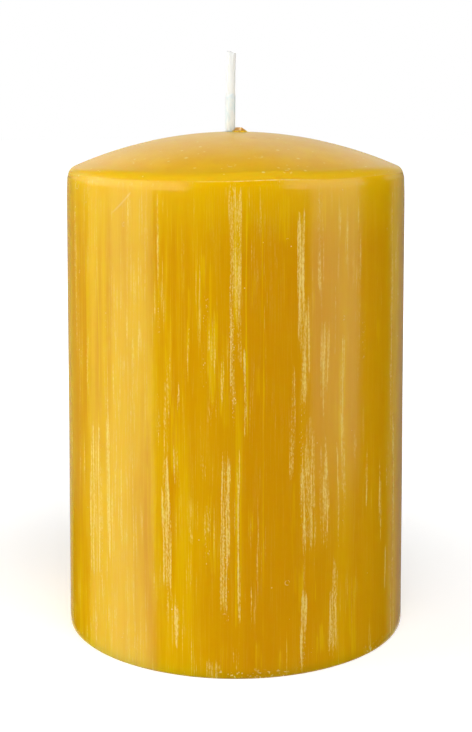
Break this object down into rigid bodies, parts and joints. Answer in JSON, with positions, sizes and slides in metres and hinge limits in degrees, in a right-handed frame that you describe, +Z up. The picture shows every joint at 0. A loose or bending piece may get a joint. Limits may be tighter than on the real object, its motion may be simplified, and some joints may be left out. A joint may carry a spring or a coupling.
{
  "type": "pillar candle",
  "caption": "Round pillar candle with a straight wall, a shallow domed crown with a rounded rim, honey-coloured wax with pale streaks, and a white waxed wick.",
  "frame": {"origin": "centre of the foot, on the surface that the candle stands on", "axes": "+Z up along the body's axis, -Y to the front, +X to the right as seen from the front"},
  "size_m": [0.068, 0.068, 0.1152],
  "materials": {
    "wax": "satin candle wax, slightly translucent, with fine pale upright streaks on the wall",
    "wick": "white cotton wick primed with clear wax"
  },
  "bodies": {
    "root": {"wax_body": "wax", "wick": "wick"}
  },
  "joints": []
}
